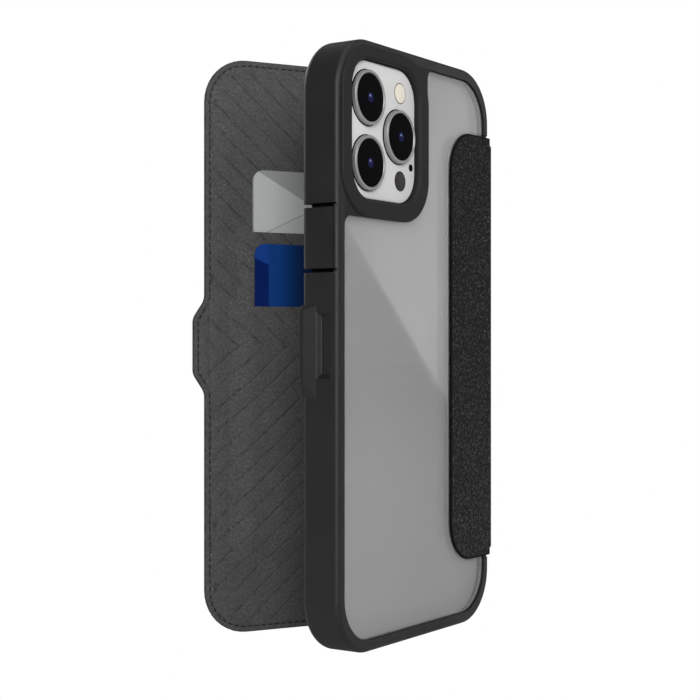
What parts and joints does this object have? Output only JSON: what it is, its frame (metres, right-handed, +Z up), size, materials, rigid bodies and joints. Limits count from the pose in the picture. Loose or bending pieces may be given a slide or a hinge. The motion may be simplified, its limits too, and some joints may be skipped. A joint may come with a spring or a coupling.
{
  "type": "phone wallet case",
  "caption": "Folio phone case: bumper shell with clear back and camera surround, folding leather cover with pull tab and card pockets holding plain cards.",
  "frame": {"origin": "middle of the seat inside the shell that the back of the phone lies on", "axes": "+Z up the long side of the case, towards the camera opening; +Y out of the seat towards the screen side; the cover is hinged on the +X side"},
  "size_m": [0.0858, 0.0574, 0.167],
  "materials": {
    "bumper": "matte",
    "clear_panel": "glossy",
    "surround": "satin",
    "button": "matte",
    "leather": "pebbled",
    "lining": "brushed microfibre",
    "thread": "waxed",
    "adhesive": "film",
    "steel": "plain",
    "magnet": "plated",
    "board": "fibreboard",
    "padding": "felt",
    "card_light": "satin",
    "card_blue": "gloss"
  },
  "bodies": {
    "shell": {"bumper": "bumper", "back_panel": "clear_panel", "camera_surround": "surround", "catch_plate": "steel", "flap_leather": "leather", "flap_adhesive": "adhesive"},
    "power_button": {"power_button": "button"},
    "volume_up_button": {"volume_up_button": "button"},
    "volume_down_button": {"volume_down_button": "button"},
    "spine": {"spine_leather": "leather", "spine_board": "board", "spine_lining": "lining"},
    "cover": {"cover_leather": "leather", "cover_board": "board", "cover_padding": "padding", "cover_lining": "lining", "cover_thread": "thread", "pocket_divider": "lining", "pocket_panel": "lining"},
    "tab": {"tab_leather": "leather", "tab_lining": "lining", "tab_magnet": "magnet", "tab_thread": "thread"},
    "card_upper": {"card_upper": "card_light"},
    "card_lower": {"card_lower": "card_blue"}
  },
  "joints": [
    {"name": "spine_fold", "type": "hinge", "parent": "shell", "child": "spine", "pos_m": [0.04295, -0.002, 0], "axis": [0, 0, -1], "range_deg": [0, 90]},
    {"name": "cover_fold", "type": "hinge", "parent": "spine", "child": "cover", "pos_m": [0.043, 0.012, 0], "axis": [0, 0, -1], "range_deg": [-28.8, 151.2]},
    {"name": "tab_flex", "type": "hinge", "parent": "cover", "child": "tab", "pos_m": [-0.02813, 0.05179, 0], "axis": [0, 0, -1], "range_deg": [-5, 30], "stiffness_Nm_per_rad": 0.02},
    {"name": "power_press", "type": "hinge", "parent": "shell", "child": "power_button", "pos_m": [-0.0403, -0.001, 0.0286], "axis": [0, 0, -1], "range_deg": [0, 4], "stiffness_Nm_per_rad": 0.2},
    {"name": "volume_up_press", "type": "slide", "parent": "shell", "child": "volume_up_button", "axis": [-1, 0, 0], "range_m": [0, 0.0003], "stiffness_N_per_m": 800},
    {"name": "volume_down_press", "type": "slide", "parent": "shell", "child": "volume_down_button", "axis": [-1, 0, 0], "range_m": [0, 0.0003], "stiffness_N_per_m": 800},
    {"name": "card_upper_slide", "type": "slide", "parent": "cover", "child": "card_upper", "axis": [0, 0, 1], "range_m": [0, 0.045]},
    {"name": "card_lower_slide", "type": "slide", "parent": "cover", "child": "card_lower", "axis": [0, 0, 1], "range_m": [0, 0.045]}
  ]
}
